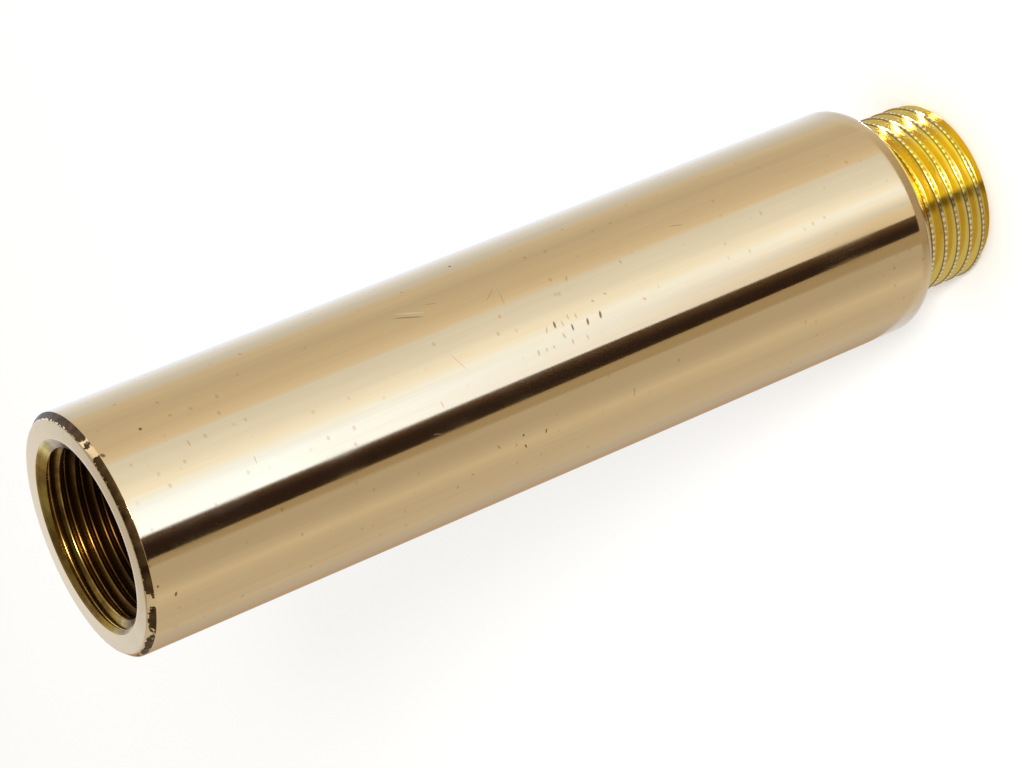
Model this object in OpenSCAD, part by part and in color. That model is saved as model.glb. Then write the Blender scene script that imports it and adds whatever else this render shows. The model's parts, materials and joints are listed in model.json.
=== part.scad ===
// Threaded pipe extension: one turned brass bar with a socket thread in its mouth
// and a spigot thread at its other end. It stands on the spigot's end face, with
// its axis along +Z and the origin at the middle of that face.

/* [Body] */
// Outer diameter of the round body
body_d = 26.5; // [24:0.1:32]
// Length of the body from the shoulder to the mouth face
body_l = 100; // [30:1:150]

/* [Mouth edge] */
// Width across the mouth face of the turned outer edge
mouth_edge_w = 0.6; // [0.2:0.05:1]
// Length along the body of the turned outer edge
mouth_edge_l = 0.7; // [0.2:0.05:1.5]

/* [Shoulder] */
// How far the shoulder's rounded edge drops below the body
shoulder_drop = 1.15; // [0.4:0.05:1.5]
// Length along the body of the rounded edge, more than its drop
shoulder_round_l = 2; // [1.6:0.1:4]

/* [Spigot] */
// Length of the spigot from its end face to the shoulder
spigot_l = 10.5; // [8:0.1:16]
// Outer diameter over the crests of the spigot's thread
spigot_crest_d = 20.8; // [20.6:0.05:21]
// Bevel at the spigot's end, the same in both directions
spigot_bevel = 0.7; // [0.3:0.05:1.5]
// Length of the plain neck between the thread and the shoulder
neck_l = 1; // [0.5:0.1:2]
// Diameter of the plain neck, under the thread's roots
neck_d = 18.4; // [18:0.1:19]
// Length over which the thread's crests slope down to the neck
neck_slope_l = 0.6; // [0.3:0.05:1.5]

/* [Socket] */
// Inner diameter over the crests of the socket's thread
socket_crest_d = 18.8; // [18.6:0.05:19.2]
// Depth of the drilled socket from the mouth face to its cone
socket_depth = 17; // [12:0.5:22]
// Diameter of the countersink at the mouth face
countersink_d = 21.15; // [20.2:0.05:22]
// Depth of the countersink
countersink_depth = 0.75; // [0.3:0.05:2]

/* [Water way] */
// Diameter of the bore through the body and the spigot
bore_d = 15; // [10:0.5:16]
// Bevel of the bore's edge in the spigot's end face
bore_bevel = 0.4; // [0.1:0.05:1]

/* [Hidden] */
// Angle of the drill tip that made the bottom of the socket, over both sides
DRILL_ANGLE = 118;
// Overlap of a cut past the face that it starts from
CUT = 1;
// Facets of a full turn in the preview
$fn = 160;
total_l = spigot_l + body_l;
body_r = body_d / 2;
spigot_r = spigot_crest_d / 2;
socket_r = socket_crest_d / 2;
bore_r = bore_d / 2;
countersink_r = countersink_d / 2;
// The rounded edge is an arc that leaves the body smoothly and ends at a crisp rim
shoulder_arc_r = (pow(shoulder_round_l, 2) + pow(shoulder_drop, 2)) / (2 * shoulder_drop);
// Height of the cone that the drill leaves between the socket and the bore
drill_cone_l = (socket_r - bore_r) / tan(DRILL_ANGLE / 2);
socket_floor_z = total_l - socket_depth;

// Outline of the body on one side of the axis, with its shoulder and mouth edge
module body_half() {
    shoulder_z = spigot_l;
    round_end_z = shoulder_z + shoulder_round_l;
    edge_z = total_l - mouth_edge_l;
    // straight wall above the rounded edge
    polygon([
        [0, round_end_z],
        [body_r, round_end_z],
        [body_r, edge_z],
        [body_r - mouth_edge_w, total_l],
        [0, total_l]
    ]);
    // rounded edge, cut off square by the shoulder face
    intersection() {
        translate([body_r - shoulder_arc_r, round_end_z])
            circle(r = shoulder_arc_r);
        translate([0, shoulder_z])
            square([body_r, shoulder_round_l]);
    }
    translate([0, shoulder_z])
        square([body_r - shoulder_arc_r, shoulder_round_l]);
}

// Outline of the spigot on one side of the axis, with its bevel and plain neck
module spigot_half() {
    neck_z = spigot_l - neck_l;
    polygon([
        [0, 0],
        [spigot_r - spigot_bevel, 0],
        [spigot_r, spigot_bevel],
        [spigot_r, neck_z - neck_slope_l],
        [neck_d / 2, neck_z],
        [neck_d / 2, spigot_l],
        [0, spigot_l]
    ]);
}

// Bore, socket and countersink on one side of the axis, open at both ends
module water_way_half() {
    polygon([
        [0, -CUT],
        [bore_r + bore_bevel + CUT, -CUT],
        [bore_r, bore_bevel],
        [bore_r, socket_floor_z - drill_cone_l],
        [socket_r, socket_floor_z],
        [socket_r, total_l - countersink_depth],
        [countersink_r, total_l],
        [countersink_r, total_l + CUT],
        [0, total_l + CUT]
    ]);
}

// The whole piece, turned from one bar
module extension() {
    color("#D9BE8C")
        rotate_extrude()
            difference() {
                union() {
                    body_half();
                    spigot_half();
                }
                water_way_half();
            }
}

extension();
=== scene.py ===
"""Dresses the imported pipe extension: the turned brass piece with its two cut threads,
its finishes, and the studio that it is photographed in. All lengths are in metres."""

import json
import math

import bpy
from mathutils import Matrix, Vector


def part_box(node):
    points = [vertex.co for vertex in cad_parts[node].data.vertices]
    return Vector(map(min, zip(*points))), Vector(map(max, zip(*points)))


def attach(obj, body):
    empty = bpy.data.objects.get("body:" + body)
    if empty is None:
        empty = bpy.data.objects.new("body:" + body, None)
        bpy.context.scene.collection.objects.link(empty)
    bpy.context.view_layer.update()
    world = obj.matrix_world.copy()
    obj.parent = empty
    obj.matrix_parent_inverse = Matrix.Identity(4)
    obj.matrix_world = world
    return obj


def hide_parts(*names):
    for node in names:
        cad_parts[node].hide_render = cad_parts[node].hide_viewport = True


bl_info = {
    "name": "Threaded Pipe Extension",
    "version": (1, 0, 0),
    "blender": (4, 5, 0),
    "location": "3D View > Sidebar > Extension",
    "description": "Models a turned brass pipe extension, its finishes and its studio",
    "category": "Object",
}

MM = 0.001
# One turn of the lathe is drawn with this many steps
TURN_STEPS = 192
# Half of the angle of a pipe thread's groove
FLANK = math.radians(27.5)

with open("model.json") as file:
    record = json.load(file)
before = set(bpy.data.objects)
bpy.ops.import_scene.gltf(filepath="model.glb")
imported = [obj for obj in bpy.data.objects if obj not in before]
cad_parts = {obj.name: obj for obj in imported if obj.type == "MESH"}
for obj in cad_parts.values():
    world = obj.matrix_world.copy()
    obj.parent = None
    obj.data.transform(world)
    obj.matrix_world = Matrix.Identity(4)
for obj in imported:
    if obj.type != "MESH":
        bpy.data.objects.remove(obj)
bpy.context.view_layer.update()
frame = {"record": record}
low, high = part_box("extension")
mounts = {mount["name"]: mount for mount in frame["record"]["mounts"]}


class ExtensionSizes(bpy.types.PropertyGroup):
    """Sizes of the turned piece"""

    body_radius: bpy.props.FloatProperty(
        name="Body radius", description="Radius of the polished body",
        default=high.x, unit="LENGTH", precision=5)
    length: bpy.props.FloatProperty(
        name="Length", description="From the spigot's end face to the mouth face",
        default=high.z, unit="LENGTH", precision=5)
    spigot_length: bpy.props.FloatProperty(
        name="Spigot length", description="From the spigot's end face to the shoulder",
        default=mounts["shoulder_face"]["pos_m"][2], unit="LENGTH", precision=5)
    spigot_radius: bpy.props.FloatProperty(
        name="Spigot radius", description="Radius over the crests of the spigot's thread",
        default=mounts["spigot_thread"]["dims"]["r_mm"] * MM, unit="LENGTH", precision=5)
    socket_radius: bpy.props.FloatProperty(
        name="Socket radius", description="Radius over the crests of the socket's thread",
        default=mounts["socket_thread"]["dims"]["r_mm"] * MM, unit="LENGTH", precision=5)
    socket_depth: bpy.props.FloatProperty(
        name="Socket depth", description="From the mouth face to the end of the socket",
        default=17 * MM, unit="LENGTH", precision=5)
    bore_radius: bpy.props.FloatProperty(
        name="Bore radius", description="Radius of the water way",
        default=7.5 * MM, unit="LENGTH", precision=5)
    thread_pitch: bpy.props.FloatProperty(
        name="Thread pitch", description="Fourteen turns to the inch",
        default=1.814 * MM, unit="LENGTH", precision=5)


class ExtensionFinish(bpy.types.PropertyGroup):
    """Colours of the finishes"""

    plating: bpy.props.StringProperty(
        name="Plating", description="Bright champagne plating, sRGB hex", default="EECE9B")
    brass: bpy.props.StringProperty(
        name="Machined brass", description="Bare brass of the threads, sRGB hex", default="F0D16C")
    pit: bpy.props.StringProperty(
        name="Pits", description="Brown of the pits in the plating, sRGB hex", default="6B4318")
    stain: bpy.props.StringProperty(
        name="Stain", description="Dark stain on the mouth's turned edge, sRGB hex", default="35240F")


class ExtensionStudio(bpy.types.PropertyGroup):
    """Floor, light and camera"""

    floor: bpy.props.StringProperty(
        name="Floor", description="Plain pale floor, sRGB hex", default="F4F2EF")
    sky: bpy.props.FloatProperty(
        name="Sky", description="Strength of the even light from all round", default=1.0, min=0)
    key: bpy.props.FloatProperty(
        name="Key light", description="Power of the soft light beside the camera",
        default=3.0, min=0, unit="POWER")
    tent_radius: bpy.props.FloatProperty(
        name="Tent radius", description="Radius of the reflected ring of cards",
        default=30 * MM, unit="LENGTH")
    camera_lens: bpy.props.FloatProperty(
        name="Lens", description="Focal length for a sensor 36 mm wide, in millimetres", default=117.16)


# ---------------------------------------------------------------- modelling helpers


def deselect_all():
    if bpy.context.mode != "OBJECT":
        bpy.ops.object.mode_set(mode="OBJECT")
    bpy.ops.object.select_all(action="DESELECT")


def draw_outline(name, points):
    """A closed line through points (distance from the axis, height) beside the Z axis."""
    deselect_all()
    bpy.ops.mesh.primitive_plane_add(size=MM, location=(0, 0, 0))
    outline = bpy.context.active_object
    outline.name = outline.data.name = name
    bpy.ops.object.mode_set(mode="EDIT")
    bpy.ops.mesh.select_mode(type="VERT")
    bpy.ops.mesh.select_all(action="SELECT")
    bpy.ops.mesh.merge(type="CENTER")
    bpy.ops.transform.translate(value=(points[0][0], 0, points[0][1]))
    for start, end in zip(points, points[1:]):
        step = (end[0] - start[0], 0, end[1] - start[1])
        bpy.ops.mesh.extrude_region_move(TRANSFORM_OT_translate={"value": step})
    select_vertices(outline, lambda co: math.dist((co.x, co.z), points[0]) < 1e-7
                    or math.dist((co.x, co.z), points[-1]) < 1e-7)
    bpy.ops.mesh.edge_face_add()
    return outline


def select_vertices(obj, chosen):
    """In edit mode, selects the vertices whose place passes the test, and edges between them."""
    bpy.ops.object.mode_set(mode="OBJECT")
    mesh = obj.data
    for face in mesh.polygons:
        face.select = False
    for edge in mesh.edges:
        edge.select = False
    for vertex in mesh.vertices:
        vertex.select = bool(chosen(vertex.co))
    bpy.ops.object.mode_set(mode="EDIT")
    bpy.ops.mesh.select_mode(type="VERT")


def tidy(obj, merge=1e-7):
    """Merges doubled vertices and points all faces outwards."""
    bpy.ops.object.mode_set(mode="EDIT")
    bpy.ops.mesh.select_all(action="SELECT")
    bpy.ops.mesh.remove_doubles(threshold=merge)
    bpy.ops.mesh.normals_make_consistent(inside=False)
    bpy.ops.object.mode_set(mode="OBJECT")


def apply_modifier(obj, kind, **settings):
    deselect_all()
    obj.select_set(True)
    bpy.context.view_layer.objects.active = obj
    modifier = obj.modifiers.new(kind.title(), kind)
    for key, value in settings.items():
        setattr(modifier, key, value)
    bpy.ops.object.modifier_apply(modifier=modifier.name)


def cut_with(obj, cutter):
    apply_modifier(obj, "BOOLEAN", operation="DIFFERENCE", solver="EXACT", object=cutter)
    bpy.data.objects.remove(cutter)


def ring_at(radius, height):
    """A test for the vertices of the ring with that radius at that height."""
    return lambda co: abs(math.hypot(co.x, co.y) - radius) < 2e-6 and abs(co.z - height) < 2e-6


def helical_cutter(name, section, pitch, start, turns):
    """Sweeps a closed section up a right-hand helix and caps its two ends.
    Heights in the section are from the groove's middle, and start is where that is at first."""
    cutter = draw_outline(name, [(r, start + u) for r, u in section])
    apply_modifier(cutter, "SCREW", axis="Z", angle=math.tau * turns, screw_offset=pitch * turns,
                   steps=round(TURN_STEPS * turns), render_steps=round(TURN_STEPS * turns), iterations=1,
                   use_smooth_shade=False)
    bpy.ops.object.mode_set(mode="EDIT")
    bpy.ops.mesh.select_mode(type="EDGE")
    bpy.ops.mesh.select_all(action="DESELECT")
    bpy.ops.mesh.select_non_manifold(extend=False, use_wire=False, use_boundary=True,
                                     use_multi_face=False, use_non_contiguous=False, use_verts=False)
    bpy.ops.mesh.fill_holes(sides=0)
    tidy(cutter)
    return cutter


def groove_section(root, crest, land_half, bottom_radius, pitch):
    """Half-open V of a pipe thread with a rounded bottom, from the crest's side round to it again.
    The groove points from the crest's radius towards the root's."""
    inward = 1 if crest > root else -1
    sharp = root - inward * (0.1601 * pitch)
    middle = root + inward * bottom_radius
    half = []
    for step in range(5):
        angle = (math.pi / 2 - FLANK) * step / 4
        half.append((middle - inward * bottom_radius * math.cos(angle), bottom_radius * math.sin(angle)))
    near_crest = crest - inward * 0.1 * MM
    half.append((near_crest, abs(near_crest - sharp) * math.tan(FLANK)))
    half.append((crest, pitch / 2 - land_half))
    half.append((crest + inward * 0.5 * MM, pitch / 2 - land_half))
    return [(r, -u) for r, u in reversed(half[1:])] + half


# ---------------------------------------------------------------- materials


def linear(code):
    """An sRGB hex colour as linear values."""
    parts = [int(code[i:i + 2], 16) / 255 for i in (0, 2, 4)]
    return [v / 12.92 if v <= 0.04045 else ((v + 0.055) / 1.055) ** 2.4 for v in parts] + [1.0]


def add_node(tree, kind, inputs=None, stops=None, **settings):
    """Adds a node, sets its settings and its ramp's stops, and sets or links its inputs."""
    node = tree.nodes.new(kind)
    for key, value in settings.items():
        setattr(node, key, value)
    if stops:
        elements = node.color_ramp.elements
        while len(elements) < len(stops):
            elements.new(0.5)
        for element, (place, color) in zip(elements, stops):
            element.position, element.color = place, color
    for key, value in (inputs or {}).items():
        if isinstance(value, bpy.types.NodeSocket):
            tree.links.new(value, node.inputs[key])
        else:
            node.inputs[key].default_value = value
    return node


def new_material(name):
    """An empty material, its tree, and the place in metres, taken apart into
    the vector, X, Y, Z, distance from the axis and azimuth from -Y towards +X in radians."""
    material = bpy.data.materials.new(name)
    material.use_nodes = True
    tree = material.node_tree
    tree.nodes.clear()
    vector = add_node(tree, "ShaderNodeTexCoord").outputs["Object"]
    x, y, z = add_node(tree, "ShaderNodeSeparateXYZ", {0: vector}).outputs
    flat = add_node(tree, "ShaderNodeVectorMath", {0: vector, 1: (1, 1, 0)}, operation="MULTIPLY").outputs[0]
    out = add_node(tree, "ShaderNodeVectorMath", {0: flat}, operation="LENGTH").outputs["Value"]
    front = add_node(tree, "ShaderNodeMath", {0: y, 1: -1.0}, operation="MULTIPLY").outputs[0]
    azimuth = add_node(tree, "ShaderNodeMath", {0: x, 1: front}, operation="ARCTAN2").outputs[0]
    return material, tree, {"vector": vector, "x": x, "y": y, "z": z, "out": out, "azimuth": azimuth}


# Marks on the plating: azimuth in degrees, height, tilt in degrees, half length and half width in mm.
# The length of an untilted mark lies round the body.
DARK_PITS = [
    (8.2, 59.0, -8, 0.42, 0.15), (4.1, 57.2, -5, 0.42, 0.12), (3.9, 55.3, -14, 0.42, 0.15),
    (4.7, 53.6, -14, 0.45, 0.16), (36.2, 104.6, 0, 0.2, 0.2), (-32.6, 109.3, 30, 0.16, 0.14),
    (-40.1, 107.5, -12, 0.3, 0.15), (30.7, 109.5, 40, 0.32, 0.22), (62.8, 64.2, 0, 0.22, 0.16),
    (-34.3, 66.1, 0, 0.16, 0.14), (-37.0, 63.3, -10, 0.3, 0.1), (-40.6, 65.9, 20, 0.3, 0.1),
]
FAINT_PITS = [
    (7.4, 58.1, 0, 0.4, 0.1), (9.3, 57.2, -6, 0.34, 0.1), (8.4, 56.3, -4, 0.3, 0.12), (2.0, 58.5, 10, 0.36, 0.15),
    (-1.9, 57.8, -4, 0.36, 0.11), (-2.6, 56.0, 0, 0.3, 0.1), (-0.8, 62.0, -4, 0.36, 0.15), (7.3, 60.1, -20, 0.4, 0.11),
    (-1.0, 60.1, 0, 0.2, 0.12), (3.7, 48.0, 45, 0.25, 0.14), (12.8, 52.0, 60, 0.22, 0.12), (11.8, 53.7, 80, 0.22, 0.16),
    (26.5, 55.0, -30, 0.35, 0.12), (3.1, 95.6, -2, 0.5, 0.07), (41.4, 69.8, 70, 0.7, 0.06), (24.2, 48.4, 0, 0.3, 0.1),
    (8.9, 70.8, 24, 1.3, 0.05), (33.7, 63.6, -55, 1.0, 0.05), (29.5, 62.7, -12, 1.0, 0.05), (20.9, 101.1, 0, 0.4, 0.1),
    (-5.6, 74.4, 10, 0.4, 0.08), (-35.0, 69.2, 30, 0.35, 0.14), (-44.0, 72.5, 50, 0.3, 0.1), (-35.5, 52.0, 0, 0.4, 0.1),
]
# scratches: real grooves in the relief, painted pale in the tint as their glint, and painted scratch shadows
SCRATCHES_AND_GLINTS = [(40.6, 72.4, 66, 1.55, 0.14), (-17.4, 75.9, 70, 0.5, 0.07), (-13.0, 52.6, 8, 0.8, 0.06)]
SCRATCH_SHADOWS = [(38.7, 72.9, 66, 1.7, 0.12), (31.0, 40.0, 72, 0.9, 0.06)]


def marks_on_body(tree, place, radius, marks):
    """1 inside the marks, fading to 0 at their edges."""
    around = add_node(tree, "ShaderNodeMath", {0: place["azimuth"], 1: radius}, operation="MULTIPLY").outputs[0]
    total = 0.0
    for azimuth, height, tilt, length, width in marks:
        # the total so far rides along as the third part, so that the marks are worked out in turn
        unrolled = add_node(tree, "ShaderNodeCombineXYZ", {0: around, 1: place["z"], 2: total})
        mark = add_node(tree, "ShaderNodeMapping", {
            "Vector": unrolled.outputs[0], "Location": (math.radians(azimuth) * radius, height * MM, 0),
            "Rotation": (0, 0, math.radians(tilt)), "Scale": (length * MM, width * MM, 1e6)}, vector_type="TEXTURE")
        reach = add_node(tree, "ShaderNodeVectorMath", {0: mark.outputs[0]}, operation="LENGTH").outputs["Value"]
        inside = add_node(tree, "ShaderNodeMapRange", {0: reach, 1: 1.15, 2: 0.6}).outputs[0]
        total = add_node(tree, "ShaderNodeMath", {0: total, 1: inside}, operation="MAXIMUM").outputs[0]
    return total


def polished_plating(finish, size):
    """Champagne plating on brass, buffed along the piece.

    The tint is the plating's own. Three scales of streaks along the axis, from noise drawn out
    lengthwise, tilt the surface and change its gloss, which gives the soft lines in the highlight.
    Fine slanting hatching is what the buffing wheel left. Small cells of a Voronoi texture are
    the many faint pinholes, and the listed marks are the pits and scratches that stand out. The
    scratches are painted pale as their glint, and two dark marks are painted scratch shadows."""
    material, tree, place = new_material("plated_brass_polished")
    drawn = add_node(tree, "ShaderNodeMapping", {"Vector": place["vector"], "Rotation": (0.01, 0.012, 0),
                                                 "Scale": (1, 1, 0.02)}).outputs[0]
    fine = add_node(tree, "ShaderNodeTexNoise", {"Vector": drawn, "Scale": 4200.0, "Detail": 1.0}).outputs[0]
    middle = add_node(tree, "ShaderNodeTexNoise", {"Vector": drawn, "Scale": 1100.0, "Detail": 2.0}).outputs[0]
    broad = add_node(tree, "ShaderNodeTexNoise", {"Vector": add_node(tree, "ShaderNodeVectorMath", {
        0: place["vector"], 1: (1, 1, 0.12)}, operation="MULTIPLY").outputs[0], "Scale": 130.0, "Detail": 2.0}).outputs[0]
    clouds = add_node(tree, "ShaderNodeTexNoise", {"Vector": place["vector"], "Scale": 90.0, "Detail": 3.0}).outputs[0]
    # slanting hatching, only in patches
    slanted = add_node(tree, "ShaderNodeMapping", {"Vector": place["vector"], "Rotation": (0, 0.5, 0),
                                                   "Scale": (1, 1, 0.06)}).outputs[0]
    hatching = add_node(tree, "ShaderNodeTexNoise", {"Vector": slanted, "Scale": 3200.0, "Detail": 1.0}).outputs[0]
    patches = add_node(tree, "ShaderNodeMapRange", {0: clouds, 1: 0.5, 2: 0.68}).outputs[0]
    hatched = add_node(tree, "ShaderNodeMath", {0: hatching, 1: patches}, operation="MULTIPLY").outputs[0]
    # pinholes
    cells = add_node(tree, "ShaderNodeTexVoronoi", {"Vector": add_node(tree, "ShaderNodeVectorMath", {
        0: place["vector"], 1: (1, 1, 1.3)}, operation="MULTIPLY").outputs[0], "Scale": 620.0, "Randomness": 1.0})
    hole = add_node(tree, "ShaderNodeMapRange", {0: cells.outputs["Distance"], 1: 0.2, 2: 0.08}).outputs[0]
    seldom = add_node(tree, "ShaderNodeSeparateColor", {0: cells.outputs["Color"]}).outputs[0]
    seldom = add_node(tree, "ShaderNodeMapRange", {0: seldom, 1: 0.55, 2: 0.95}).outputs[0]
    pinholes = add_node(tree, "ShaderNodeMath", {0: hole, 1: seldom}, operation="MULTIPLY").outputs[0]

    radius = size.body_radius
    dark = marks_on_body(tree, place, radius, DARK_PITS)
    faint = marks_on_body(tree, place, radius, FAINT_PITS)
    pale = marks_on_body(tree, place, radius, SCRATCHES_AND_GLINTS)
    shadow = marks_on_body(tree, place, radius, SCRATCH_SHADOWS)

    # tint: streaks and clouds change it by a few hundredths, pinholes and pits brown it
    tone = add_node(tree, "ShaderNodeMath", {0: middle, 1: 0.10, 2: 0.93}, operation="MULTIPLY_ADD").outputs[0]
    tone = add_node(tree, "ShaderNodeMath", {0: fine, 1: 0.05, 2: tone}, operation="MULTIPLY_ADD").outputs[0]
    tone = add_node(tree, "ShaderNodeMath", {0: clouds, 1: -0.06, 2: tone}, operation="MULTIPLY_ADD").outputs[0]
    color = add_node(tree, "ShaderNodeMix", {0: 1.0, 6: linear(finish.plating), 7: tone},
                     data_type="RGBA", blend_type="MULTIPLY").outputs[2]
    # pinholes and pits are the plating's own; the pale scratches are a painted glint and the scratch shadows painted
    # shade
    for mask, share, tint in ((pinholes, 0.34, "B5741F"), (faint, 0.42, "A9691E"), (shadow, 0.45, "5E4526"),
                              (pale, 0.5, "FFF4DC"), (dark, 0.85, finish.pit)):
        part = add_node(tree, "ShaderNodeMath", {0: mask, 1: share}, operation="MULTIPLY").outputs[0]
        color = add_node(tree, "ShaderNodeMix", {0: part, 6: color, 7: linear(tint)}, data_type="RGBA").outputs[2]

    gloss = add_node(tree, "ShaderNodeMapRange", {0: middle, 1: 0.3, 2: 0.7, 3: 0.06, 4: 0.12}).outputs[0]
    gloss = add_node(tree, "ShaderNodeMath", {0: hatched, 1: 0.12, 2: gloss}, operation="MULTIPLY_ADD").outputs[0]
    gloss = add_node(tree, "ShaderNodeMath", {0: dark, 1: 0.3, 2: gloss}, operation="MULTIPLY_ADD").outputs[0]

    height = add_node(tree, "ShaderNodeMath", {0: broad, 1: 16.0, 2: 0.0}, operation="MULTIPLY_ADD").outputs[0]
    for value, share in ((middle, 0.8), (fine, 0.12), (hatched, 0.35), (dark, -6.0), (faint, -1.5), (pale, -4.0)):
        height = add_node(tree, "ShaderNodeMath", {0: value, 1: share, 2: height}, operation="MULTIPLY_ADD").outputs[0]
    relief = add_node(tree, "ShaderNodeBump", {"Height": height, "Distance": 0.001 * MM, "Strength": 1.0})
    shader = add_node(tree, "ShaderNodeBsdfPrincipled", {
        "Base Color": color, "Metallic": 1.0, "Roughness": gloss, "Normal": relief.outputs[0]})
    add_node(tree, "ShaderNodeOutputMaterial", {"Surface": shader.outputs[0]})
    return material


def turned_face(finish, size):
    """The mouth's plated ring.

    Fine rings round the axis are the lathe's marks, and soft clouds break up their gloss."""
    material, tree, place = new_material("plated_brass_turned")
    clouds = add_node(tree, "ShaderNodeTexNoise", {"Vector": place["vector"], "Scale": 500.0, "Detail": 3.0}).outputs[0]
    rings = add_node(tree, "ShaderNodeTexNoise", {"W": place["out"], "Scale": 9000.0, "Detail": 2.0},
                     noise_dimensions="1D").outputs[0]
    tone = add_node(tree, "ShaderNodeMath", {0: rings, 1: 0.14, 2: 0.88}, operation="MULTIPLY_ADD").outputs[0]
    tone = add_node(tree, "ShaderNodeMath", {0: clouds, 1: 0.12, 2: tone}, operation="MULTIPLY_ADD").outputs[0]
    color = add_node(tree, "ShaderNodeMix", {0: 1.0, 6: linear(finish.plating), 7: tone},
                     data_type="RGBA", blend_type="MULTIPLY").outputs[2]
    relief = add_node(tree, "ShaderNodeBump", {"Height": rings, "Distance": 0.001 * MM, "Strength": 1.0})
    gloss = add_node(tree, "ShaderNodeMapRange", {0: clouds, 1: 0.3, 2: 0.7, 3: 0.14, 4: 0.24}).outputs[0]
    shader = add_node(tree, "ShaderNodeBsdfPrincipled", {
        "Base Color": color, "Metallic": 1.0, "Roughness": gloss, "Normal": relief.outputs[0]})
    add_node(tree, "ShaderNodeOutputMaterial", {"Surface": shader.outputs[0]})
    return material


def stained_edge(finish, size):
    """The mouth's turned outer edge.

    Its bare brass is stained dark brown. The stain's ragged border and the chips of plating
    that show bright in it come from noise that is let in more where the edge is worn."""
    material, tree, place = new_material("brass_stained")
    ragged = add_node(tree, "ShaderNodeTexNoise", {"Vector": place["vector"], "Scale": 2200.0, "Detail": 3.0,
                                                   "Roughness": 0.6}).outputs[0]
    turn = add_node(tree, "ShaderNodeMath", {0: place["azimuth"], 1: 1 / math.tau, 2: 0.5},
                    operation="MULTIPLY_ADD").outputs[0]
    # how worn the edge is round the mouth, from the back over -X, the front and +X to the back
    worn = add_node(tree, "ShaderNodeValToRGB", {0: turn}, stops=[
        ((azimuth + 180) / 360, [wear] * 3 + [1]) for azimuth, wear in (
            (-180, 0.45), (-100, 0.5), (-84, 0.36), (-66, 0.2), (-60, 0.5), (-52, 0.04), (-44, 0.3), (-40, 0.75), (-36, 0.3),
            (-33, 0), (22, 0), (31, 0.12), (34, 0.8), (36, 0.75), (39, 0.1), (42, 0.55), (45, 0.02), (70, 0.05), (95, 0.2),
            (180, 0.45))]).outputs[0]
    across = add_node(tree, "ShaderNodeMapRange", {
        0: place["out"], 1: size.body_radius - 0.6 * MM, 2: size.body_radius - 0.38 * MM, 3: 0.35, 4: 0.0}).outputs[0]
    bare = add_node(tree, "ShaderNodeMath", {0: worn, 1: across}, operation="ADD").outputs[0]
    bare = add_node(tree, "ShaderNodeMath", {0: ragged, 1: bare}, operation="ADD").outputs[0]
    bare = add_node(tree, "ShaderNodeMapRange", {0: bare, 1: 0.86, 2: 0.93}).outputs[0]
    clouds = add_node(tree, "ShaderNodeTexNoise", {"Vector": place["vector"], "Scale": 700.0, "Detail": 2.0}).outputs[0]
    stain = add_node(tree, "ShaderNodeValToRGB", {0: clouds}, stops=[
        (0.3, linear(finish.stain)), (0.62, linear("5A4328")), (0.8, linear("7D5F36"))]).outputs[0]
    color = add_node(tree, "ShaderNodeMix", {0: bare, 6: stain, 7: linear(finish.plating)}, data_type="RGBA").outputs[2]
    gloss = add_node(tree, "ShaderNodeMapRange", {0: bare, 3: 0.42, 4: 0.22}).outputs[0]
    relief = add_node(tree, "ShaderNodeBump", {"Height": ragged, "Distance": 0.02 * MM, "Strength": 0.6})
    shader = add_node(tree, "ShaderNodeBsdfPrincipled", {
        "Base Color": color, "Metallic": 1.0, "Roughness": gloss, "Normal": relief.outputs[0]})
    add_node(tree, "ShaderNodeOutputMaterial", {"Surface": shader.outputs[0]})
    return material


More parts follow.
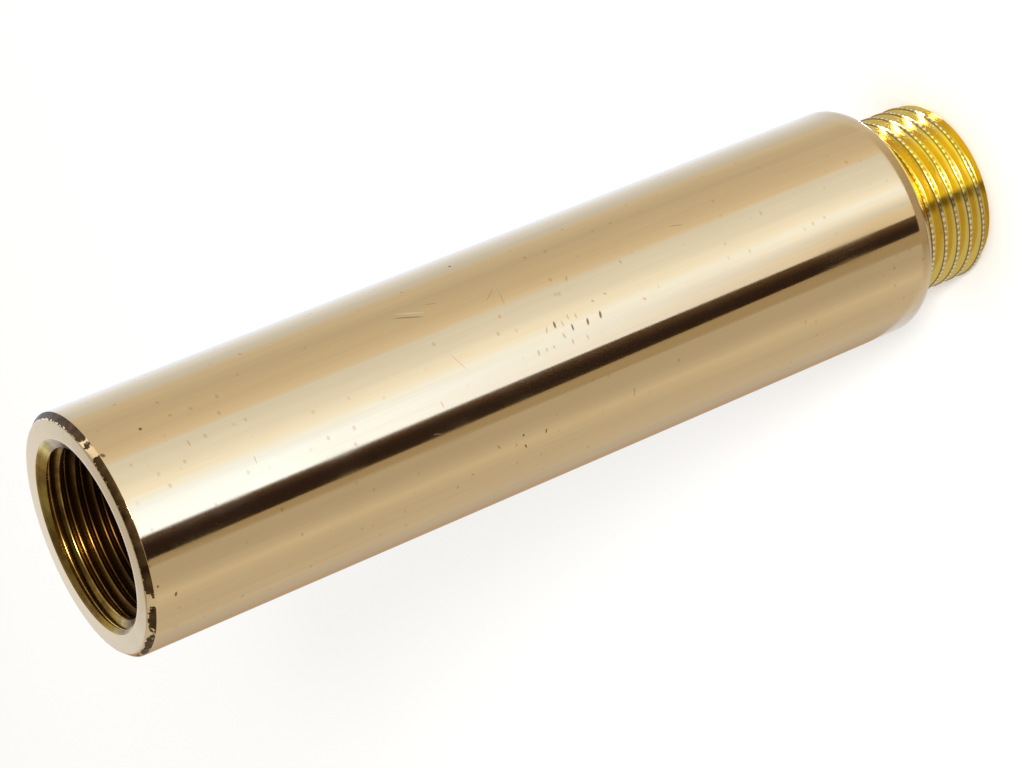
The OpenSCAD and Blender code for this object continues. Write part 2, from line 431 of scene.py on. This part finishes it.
def machined_brass(finish, size):
    """Bare brass of the spigot's thread and end face.

    Fine rings are the cutting tool's marks and blotches are where it has dulled. The crest lands
    have their own paler tone, with a row of painted glints along them as near-white dots, and a
    thin brown line of painted shade lies along the upper edge of each crest, on the flank facing up."""
    material, tree, place = new_material("brass_machined")
    normal = add_node(tree, "ShaderNodeNewGeometry").outputs["True Normal"]
    up = add_node(tree, "ShaderNodeSeparateXYZ", {0: normal}).outputs[2]
    blotches = add_node(tree, "ShaderNodeTexNoise", {"Vector": place["vector"], "Scale": 420.0, "Detail": 3.0}).outputs[0]
    grain = add_node(tree, "ShaderNodeTexNoise", {"Vector": place["vector"], "Scale": 2600.0, "Detail": 2.0}).outputs[0]
    rings = add_node(tree, "ShaderNodeTexNoise", {"Vector": add_node(tree, "ShaderNodeCombineXYZ", {
        0: place["out"], 1: place["z"]}).outputs[0], "Scale": 7000.0, "Detail": 1.0}).outputs[0]
    tone = add_node(tree, "ShaderNodeMath", {0: blotches, 1: 0.18, 2: 0.86}, operation="MULTIPLY_ADD").outputs[0]
    tone = add_node(tree, "ShaderNodeMath", {0: grain, 1: 0.1, 2: tone}, operation="MULTIPLY_ADD").outputs[0]
    color = add_node(tree, "ShaderNodeMix", {0: 1.0, 6: linear(finish.brass), 7: tone},
                     data_type="RGBA", blend_type="MULTIPLY").outputs[2]
    crest = size.spigot_radius
    # painted shade: a thin brown line on the up-facing flank just under each crest
    crest_shade = add_node(tree, "ShaderNodeMapRange", {0: place["out"], 1: crest - 0.2 * MM, 2: crest - 0.1 * MM}).outputs[0]
    facing_up = add_node(tree, "ShaderNodeMapRange", {0: up, 1: 0.1, 2: 0.3}).outputs[0]
    crest_shade = add_node(tree, "ShaderNodeMath", {0: crest_shade, 1: facing_up}, operation="MULTIPLY").outputs[0]
    crest_shade = add_node(tree, "ShaderNodeMath", {0: crest_shade, 1: 0.85}, operation="MULTIPLY").outputs[0]
    color = add_node(tree, "ShaderNodeMix", {0: crest_shade, 6: color, 7: linear("6E3F10")}, data_type="RGBA").outputs[2]
    # painted glints: a row of near-white dots along each crest land, on the land's own paler tone
    glint_dots = add_node(tree, "ShaderNodeMath", {0: place["azimuth"], 1: 90.0}, operation="MULTIPLY").outputs[0]
    glint_dots = add_node(tree, "ShaderNodeMath", {0: grain, 1: 5.0, 2: glint_dots}, operation="MULTIPLY_ADD").outputs[0]
    glint_dots = add_node(tree, "ShaderNodeMath", {0: glint_dots}, operation="SINE").outputs[0]
    crest_tone_and_glints = add_node(tree, "ShaderNodeMix", {
        0: add_node(tree, "ShaderNodeMapRange", {0: glint_dots, 1: -0.4, 2: 0.5}).outputs[0],
        6: linear("D9B669"), 7: linear("FFF3D6")}, data_type="RGBA").outputs[2]
    land = add_node(tree, "ShaderNodeMapRange", {0: place["out"], 1: crest - 0.07 * MM, 2: crest - 0.03 * MM}).outputs[0]
    color = add_node(tree, "ShaderNodeMix", {0: land, 6: color, 7: crest_tone_and_glints}, data_type="RGBA").outputs[2]
    gloss = add_node(tree, "ShaderNodeMapRange", {0: blotches, 1: 0.3, 2: 0.7, 3: 0.16, 4: 0.26}).outputs[0]
    relief = add_node(tree, "ShaderNodeBump", {"Height": rings, "Distance": 0.002 * MM, "Strength": 1.0})
    shader = add_node(tree, "ShaderNodeBsdfPrincipled", {
        "Base Color": color, "Metallic": 1.0, "Roughness": gloss, "Normal": relief.outputs[0]})
    add_node(tree, "ShaderNodeOutputMaterial", {"Surface": shader.outputs[0]})
    return material


def socket_brass(finish, size):
    """Bare brass inside the mouth.

    It is gold on the countersink and the first turn of the thread, and browner and duller with
    depth, with oily black stains. Fine rings are the marks of the countersinking tool."""
    material, tree, place = new_material("brass_socket")
    depth = add_node(tree, "ShaderNodeMath", {0: size.length, 1: place["z"]}, operation="SUBTRACT").outputs[0]
    blotches = add_node(tree, "ShaderNodeTexNoise", {"Vector": place["vector"], "Scale": 260.0, "Detail": 4.0,
                                                     "Roughness": 0.6}).outputs[0]
    rings = add_node(tree, "ShaderNodeTexNoise", {"Vector": add_node(tree, "ShaderNodeCombineXYZ", {
        0: place["out"], 1: place["z"]}).outputs[0], "Scale": 5200.0, "Detail": 2.0}).outputs[0]
    # the colour goes from gold to darker brown with depth into the socket, and in the blotches
    depth_and_stains = add_node(tree, "ShaderNodeMath", {0: depth, 1: 1 / (9 * MM)}, operation="MULTIPLY").outputs[0]
    depth_and_stains = add_node(tree, "ShaderNodeMath", {0: blotches, 1: 0.9, 2: depth_and_stains}, operation="MULTIPLY_ADD").outputs[0]
    color = add_node(tree, "ShaderNodeValToRGB", {0: depth_and_stains}, stops=[
        (0.35, linear(finish.brass)), (0.55, linear("B8924A")), (0.75, linear("7D5A28")), (1.0, linear("55391A"))]).outputs[0]
    tone = add_node(tree, "ShaderNodeMapRange", {0: rings, 1: 0.35, 2: 0.65, 3: 0.7, 4: 1.05}).outputs[0]
    color = add_node(tree, "ShaderNodeMix", {0: 1.0, 6: color, 7: tone}, data_type="RGBA", blend_type="MULTIPLY").outputs[2]
    gloss = add_node(tree, "ShaderNodeMapRange", {0: depth_and_stains, 1: 0.3, 2: 1.0, 3: 0.16, 4: 0.34}).outputs[0]
    relief = add_node(tree, "ShaderNodeBump", {"Height": rings, "Distance": 0.006 * MM, "Strength": 1.0})
    shader = add_node(tree, "ShaderNodeBsdfPrincipled", {
        "Base Color": color, "Metallic": 1.0, "Roughness": gloss, "Normal": relief.outputs[0]})
    add_node(tree, "ShaderNodeOutputMaterial", {"Surface": shader.outputs[0]})
    return material


# ---------------------------------------------------------------- operators


class EXTENSION_OT_turned_piece(bpy.types.Operator):
    """Turns the extension, cuts its two threads and gives it its finishes"""

    bl_idname = "extension.turned_piece"
    bl_label = "Turned Piece"

    def execute(self, context):
        size = context.scene.extension_sizes
        finish = context.scene.extension_finish
        body, top, foot = size.body_radius, size.length, size.spigot_length
        spigot, socket, bore = size.spigot_radius, size.socket_radius, size.bore_radius
        drop, rounding = 1.15 * MM, 2 * MM
        arc = (rounding ** 2 + drop ** 2) / (2 * drop)
        arc_angle = math.acos((arc - drop) / arc)
        shoulder = [(body - arc + arc * math.cos(arc_angle * (1 - i / 12)),
                     foot + rounding - arc * math.sin(arc_angle * (1 - i / 12))) for i in range(13)]
        socket_floor = top - size.socket_depth
        points = [
            (bore + 0.4 * MM, 0),
            (spigot - 0.7 * MM, 0),
            (spigot, 0.7 * MM),
            (spigot, foot - 1.6 * MM),
            (9.2 * MM, foot - 1 * MM),
            (9.2 * MM, foot),
            *shoulder,
            (body, foot + rounding + 0.3 * MM),
            (body, top / 2),
            (body, top - 2 * MM),
            (body, top - 1 * MM),
            (body, top - 0.7 * MM),
            (body - 0.6 * MM, top),
            (body - 0.9 * MM, top),
            (socket + 1.5 * MM, top),
            (socket + 1.175 * MM, top),
            (socket, top - 0.75 * MM),
            (socket, socket_floor),
            (bore, socket_floor - (socket - bore) / math.tan(math.radians(59))),
            (bore, 0.4 * MM),
        ]
        piece = draw_outline("turned_extension", points)
        bpy.ops.mesh.select_all(action="SELECT")
        bpy.ops.mesh.spin(steps=TURN_STEPS, angle=math.tau, center=(0, 0, 0), axis=(0, 0, 1))
        tidy(piece)

        # the turned edges are broken a little, which gives each a thin bright line
        for radius, height, width in (
            (shoulder[0][0], foot, 0.08), (spigot, 0.7 * MM, 0.08), (spigot - 0.7 * MM, 0, 0.08),
            (body, top - 0.7 * MM, 0.07), (body - 0.6 * MM, top, 0.07), (socket + 1.175 * MM, top, 0.06),
        ):
            select_vertices(piece, ring_at(radius, height))
            bpy.ops.mesh.bevel(offset=width * MM, segments=2, affect="EDGES")

        pitch = size.thread_pitch
        # the spigot's groove runs from below the end face into the plain neck
        outer = groove_section(spigot - 1.0845 * MM, spigot, 0.107 * MM, 0.249 * MM, pitch)
        cut_with(piece, helical_cutter("spigot_groove", outer, pitch, 1.1235 * MM - 2 * pitch, 6.70))
        # the socket's groove runs from inside the socket out past the mouth face
        inner = groove_section(socket + 1.0775 * MM, socket, 0.107 * MM, 0.249 * MM, pitch)
        cut_with(piece, helical_cutter("socket_groove", inner, pitch, 108.9965 * MM - 7 * pitch, 8.38))
        tidy(piece, merge=1e-6)

        for make in (polished_plating, turned_face, stained_edge, machined_brass, socket_brass):
            piece.data.materials.append(make(finish, size))
        for face in piece.data.polygons:
            out, height, up = math.hypot(face.center.x, face.center.y), face.center.z, face.normal.z
            if height > top - 0.75 * MM and out > body - 0.66 * MM and up > 0.3:
                face.material_index = 2
            elif height > top - 0.1 * MM and up > 0.95:
                face.material_index = 1
            elif out > socket + 1.3 * MM and height > foot - 0.1 * MM:
                face.material_index = 0
            elif height > foot:
                face.material_index = 4
            else:
                face.material_index = 3
        deselect_all()
        piece.select_set(True)
        context.view_layer.objects.active = piece
        bpy.ops.object.shade_smooth_by_angle(angle=math.radians(38))
        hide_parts("extension")
        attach(piece, "root")
        return {"FINISHED"}


class EXTENSION_OT_studio(bpy.types.Operator):
    """Sets up the floor, the lights, the reflected cards and the camera"""

    bl_idname = "extension.studio"
    bl_label = "Studio"

    def execute(self, context):
        studio = context.scene.extension_studio
        scene = context.scene
        scene.view_settings.view_transform = "Standard"
        world = bpy.data.worlds.new("even_sky")
        scene.world = world
        world.use_nodes = True
        world.node_tree.nodes["Background"].inputs["Color"].default_value = (1, 1, 1, 1)
        world.node_tree.nodes["Background"].inputs["Strength"].default_value = studio.sky

        deselect_all()
        bpy.ops.mesh.primitive_plane_add(size=6, location=(0, 0, 0))
        floor = context.active_object
        floor.name = "floor"
        material, tree, place = new_material("pale_floor")
        shader = add_node(tree, "ShaderNodeBsdfPrincipled", {
            "Base Color": linear(studio.floor), "Roughness": 0.9, "Specular IOR Level": 0.0})
        add_node(tree, "ShaderNodeOutputMaterial", {"Surface": shader.outputs[0]})
        floor.data.materials.append(material)

        light_tent(studio)
        dark_card(studio)
        collar(studio)

        light = bpy.data.lights.new("key_light", "AREA")
        light.shape, light.size, light.energy = "DISK", 0.12, studio.key
        key = bpy.data.objects.new("key_light", light)
        scene.collection.objects.link(key)
        azimuth, elevation, distance = math.radians(7), math.radians(27), 0.6
        towards = Vector((math.sin(azimuth) * math.cos(elevation),
                          -math.cos(azimuth) * math.cos(elevation), math.sin(elevation)))
        key.location = Vector((0, 0, 0.05)) + towards * distance
        key.rotation_euler = towards.to_track_quat("Z", "Y").to_euler()

        camera = bpy.data.cameras.new("camera")
        camera.lens, camera.sensor_width = studio.camera_lens, 36
        camera.clip_start, camera.clip_end = 0.01, 20
        view = bpy.data.objects.new("camera", camera)
        scene.collection.objects.link(view)
        scene.camera = view
        # the part stands, and the camera is rolled, so that the picture shows it lying
        eye, aim = Vector((0, -0.32087, 0.21788)), Vector((-0.002182, -0.000015, 0.059707))
        ahead = (aim - eye).normalized()
        look = ahead.to_track_quat("-Z", "Y").to_matrix().to_4x4()
        view.matrix_world = Matrix.Translation(eye) @ look @ Matrix.Rotation(math.radians(-112.52), 4, "Z")
        return {"FINISHED"}


# Glowing papers of the tent: tint and brightness
PAPERS = {
    "soft box": ("B5CEFF", 2.6),
    "bright": ("C5DAFF", 1.95),
    "white": ("D9E7FF", 1.4),
    "grey": ("FFFEFB", 0.62),
    "buff": ("FFF2D8", 0.42),
    "warm": ("FFE2BC", 0.5),
    "gold": ("FFFF94", 1.0),
    "brown": ("FFF6DD", 0.12),
}
# The brightest paper, by which the emission's strength multiplies colours from 0 to 1
GLOW = 3.0


def paper(name, share):
    tint, brightness = PAPERS[name]
    return [v * brightness * share / GLOW for v in linear(tint)[:3]] + [1]


def papers_round(stops):
    """Stops (azimuth in degrees from the camera's side towards +X, paper, share of its brightness)."""
    return [((azimuth + 180) / 360, paper(name, share)) for azimuth, name, share in stops]


def glowing(name, colour_of):
    """A material that glows in the colour that colour_of builds from the place and the turn,
    which goes from 0 at the back over -X and the camera's side to 1."""
    material, tree, place = new_material(name)
    turn = add_node(tree, "ShaderNodeMath", {0: place["azimuth"], 1: 1 / math.tau, 2: 0.5},
                    operation="MULTIPLY_ADD").outputs[0]
    glow = add_node(tree, "ShaderNodeEmission", {"Color": colour_of(tree, place, turn), "Strength": GLOW})
    add_node(tree, "ShaderNodeOutputMaterial", {"Surface": glow.outputs[0]})
    return material


SHADED_SIDE = [
    (-180, "white", 1), (-158, "warm", 1), (-132, "warm", 1), (-117, "grey", 0.86), (-101, "grey", 1.0),
    (-80, "grey", 0.95), (-70, "grey", 1.0), (-62, "grey", 1.12), (-54, "grey", 0.93), (-47, "grey", 0.82),
    (-36.2, "grey", 0.83), (-35.6, "buff", 0.98), (-20, "buff", 0.95),
]
LIT_SIDE = [
    (9, "bright", 1.02), (14, "white", 1.14), (25, "white", 0.93), (40, "white", 0.82), (43.5, "grey", 1.27),
    (52, "grey", 1.1), (75, "grey", 0.96), (90, "grey", 1.1), (100, "white", 0.68), (112, "white", 0.8),
    (128, "white", 0.95), (180, "white", 1),
]
HIGH_WALL = SHADED_SIDE + [(-15, "soft box", 1.1), (-3, "soft box", 1.05), (4, "soft box", 0.95)] + LIT_SIDE
LOW_WALL = SHADED_SIDE + [(-15, "grey", 1.25), (-7, "grey", 1.33), (-1, "white", 0.85), (4, "white", 1.1)] + LIT_SIDE


def wall_colour(tree, place, turn):
    """The wall that the body reflects. Its soft box fades out downwards."""
    high = add_node(tree, "ShaderNodeValToRGB", {0: turn}, stops=papers_round(HIGH_WALL)).outputs[0]
    low = add_node(tree, "ShaderNodeValToRGB", {0: turn}, stops=papers_round(LOW_WALL)).outputs[0]
    height = add_node(tree, "ShaderNodeMapRange", {0: place["z"], 1: 6 * MM, 2: 88 * MM}).outputs[0]
    return add_node(tree, "ShaderNodeMix", {0: height, 6: low, 7: high}, data_type="RGBA").outputs[2]


def upper_wall_colour(tree, place, turn):
    """The wall above the mouth, which its face and its edges reflect. Its back is white only low down."""
    around = add_node(tree, "ShaderNodeValToRGB", {0: turn}, stops=papers_round([
        (-180, "white", 0.9), (-152, "white", 0.8), (-120, "grey", 1), (-60, "grey", 1), (0, "grey", 1), (60, "grey", 1.6),
        (95, "white", 1.2), (125, "white", 1.2), (150, "white", 0.8), (180, "white", 0.9)])).outputs[0]
    height = add_node(tree, "ShaderNodeMapRange", {0: place["z"], 1: 122 * MM, 2: 126 * MM}).outputs[0]
    back = add_node(tree, "ShaderNodeMapRange", {0: place["y"], 1: 18 * MM, 2: 25 * MM}).outputs[0]
    back = add_node(tree, "ShaderNodeMath", {0: back, 1: height}, operation="MULTIPLY").outputs[0]
    return add_node(tree, "ShaderNodeMix", {0: back, 6: around, 7: paper("buff", 1.0)}, data_type="RGBA").outputs[2]


def roof_colour(tree, place, turn):
    """The roof over the mouth, dark in its middle, which the inside of the socket reflects."""
    around = add_node(tree, "ShaderNodeValToRGB", {0: turn}, stops=papers_round([
        (-180, "brown", 1.2), (-150, "grey", 0.6), (-100, "grey", 0.6), (-60, "brown", 2), (60, "brown", 2), (110, "grey", 0.6),
        (140, "grey", 1.1), (160, "grey", 0.8), (180, "brown", 1.2)])).outputs[0]
    out = add_node(tree, "ShaderNodeMapRange", {0: place["out"], 1: 11 * MM, 2: 20 * MM}).outputs[0]
    return add_node(tree, "ShaderNodeMix", {0: out, 6: paper("brown", 0.7), 7: around}, data_type="RGBA").outputs[2]


def floor_colour(tree, place, turn):
    """The tent's glowing bottom round the foot, which the shoulder's rounding reflects in place of the floor."""
    around = add_node(tree, "ShaderNodeValToRGB", {0: turn}, stops=papers_round([
        (-180, "white", 0.9), (-147, "grey", 1.25), (-110, "white", 0.7), (-70, "grey", 1.05), (-38, "buff", 0.95),
        (0, "buff", 1.05), (35, "buff", 1.25), (67, "grey", 1.05), (104, "white", 0.72), (147, "white", 1.05),
        (180, "white", 1)])).outputs[0]
    out = add_node(tree, "ShaderNodeMapRange", {0: place["out"], 1: 11 * MM, 2: 16 * MM, 3: 0.7, 4: 1.0}).outputs[0]
    return add_node(tree, "ShaderNodeMix", {0: 1.0, 6: around, 7: out}, data_type="RGBA", blend_type="MULTIPLY").outputs[2]


def collar_colour(tree, place, turn):
    """The collar round the spigot, which the flanks of the thread reflect."""
    around = add_node(tree, "ShaderNodeValToRGB", {0: turn}, stops=papers_round([
        (-180, "grey", 1), (-60, "grey", 0.95), (-20, "grey", 0.85), (-15, "brown", 1.1), (-10, "brown", 1.1),
        (-8, "gold", 1), (35, "gold", 1), (48, "grey", 1.1), (90, "grey", 1), (180, "grey", 1)])).outputs[0]
    # a narrow, very bright glowing strip at one side, which the thread's valleys show as glints
    degrees = add_node(tree, "ShaderNodeMath", {0: place["azimuth"]}, operation="DEGREES").outputs[0]
    aside = add_node(tree, "ShaderNodeMath", {0: degrees, 1: 62.0, 2: 1.6}, operation="COMPARE").outputs[0]
    return add_node(tree, "ShaderNodeMix", {0: aside, 6: around, 7: (8, 8, 8, 1)}, data_type="RGBA").outputs[2]


def light_tent(studio):
    """A round tent of glowing papers that only the part's reflections see."""
    deselect_all()
    bpy.ops.mesh.primitive_cylinder_add(vertices=192, radius=studio.tent_radius, depth=137 * MM,
                                        location=(0, 0, 68.55 * MM), end_fill_type="NGON")
    tent = bpy.context.active_object
    tent.name = "light_tent"
    bpy.ops.object.transform_apply(location=True, rotation=True, scale=True)
    bpy.ops.object.mode_set(mode="EDIT")
    bpy.ops.mesh.select_all(action="SELECT")
    bpy.ops.mesh.bisect(plane_co=(0, 0, 113 * MM), plane_no=(0, 0, 1))
    bpy.ops.object.mode_set(mode="OBJECT")
    for name, colour_of in (("tent_wall", wall_colour), ("tent_upper_wall", upper_wall_colour),
                            ("tent_roof", roof_colour), ("tent_floor", floor_colour)):
        tent.data.materials.append(glowing(name, colour_of))
    for face in tent.data.polygons:
        if abs(face.normal.z) > 0.9:
            face.material_index = 2 if face.normal.z > 0 else 3
        else:
            face.material_index = 1 if face.center.z > 113 * MM else 0
    reflected_only(tent)
    return tent


def collar(studio):
    """A low glowing ring close round the spigot, which only reflections see."""
    deselect_all()
    bpy.ops.mesh.primitive_cylinder_add(vertices=192, radius=11.75 * MM, depth=9.8 * MM,
                                        location=(0, 0, 4.97 * MM), end_fill_type="NOTHING")
    ring = bpy.context.active_object
    ring.name = "collar"
    bpy.ops.object.transform_apply(location=True, rotation=True, scale=True)
    ring.data.materials.append(glowing("collar", collar_colour))
    reflected_only(ring)
    return ring


def dark_card(studio):
    """A narrow dark card just inside the tent, which the body shows as its dark stripe."""
    deselect_all()
    bpy.ops.mesh.primitive_grid_add(x_subdivisions=16, y_subdivisions=2, size=1, location=(0, 0, 0))
    card = bpy.context.active_object
    card.name = "dark_card"
    radius = studio.tent_radius - 0.5 * MM
    for vertex in card.data.vertices:
        across, up = vertex.co.x + 0.5, vertex.co.y + 0.5
        left, right = -26.0 - 5.0 * up, -13.2 - 1.1 * up
        angle = math.radians(left + (right - left) * across)
        vertex.co = (radius * math.sin(angle), -radius * math.cos(angle), (0.06 + 112 * up) * MM)
    card.data.materials.append(glowing("dark_card", dark_card_colour))
    reflected_only(card)
    return card


def dark_card_colour(tree, place, turn):
    """Nearly black, and browner towards the bright side."""
    return add_node(tree, "ShaderNodeValToRGB", {0: turn}, stops=[
        ((azimuth + 180) / 360, [v / GLOW for v in color] + [1]) for azimuth, color in (
            (-32, (0.022, 0.014, 0.015)), (-20, (0.032, 0.02, 0.018)), (-16.5, (0.08, 0.05, 0.03)),
            (-13, (0.13, 0.09, 0.05)))]).outputs[0]


def reflected_only(obj):
    obj.visible_camera = obj.visible_diffuse = obj.visible_shadow = False
    obj.visible_transmission = obj.visible_volume_scatter = False
    for material in obj.data.materials:
        material.cycles.emission_sampling = "NONE"


class VIEW3D_PT_extension(bpy.types.Panel):
    """Sizes, finishes and studio of the pipe extension"""

    bl_label = "Pipe Extension"
    bl_space_type = "VIEW_3D"
    bl_region_type = "UI"
    bl_category = "Extension"

    def draw(self, context):
        for group in ("extension_sizes", "extension_finish", "extension_studio"):
            settings = getattr(context.scene, group)
            column = self.layout.box().column()
            for name in settings.__annotations__:
                column.prop(settings, name)
        self.layout.operator("extension.turned_piece")
        self.layout.operator("extension.studio")


GROUPS = {"extension_sizes": ExtensionSizes, "extension_finish": ExtensionFinish,
          "extension_studio": ExtensionStudio}
OPERATORS = (EXTENSION_OT_turned_piece, EXTENSION_OT_studio, VIEW3D_PT_extension)


def register():
    for name, group in GROUPS.items():
        bpy.utils.register_class(group)
        setattr(bpy.types.Scene, name, bpy.props.PointerProperty(type=group))
    for cls in OPERATORS:
        bpy.utils.register_class(cls)


def unregister():
    for cls in reversed(OPERATORS):
        bpy.utils.unregister_class(cls)
    for name, group in GROUPS.items():
        delattr(bpy.types.Scene, name)
        bpy.utils.unregister_class(group)


def main():
    register()
    bpy.ops.extension.turned_piece()
    bpy.ops.extension.studio()


if __name__ == "__main__":
    main()
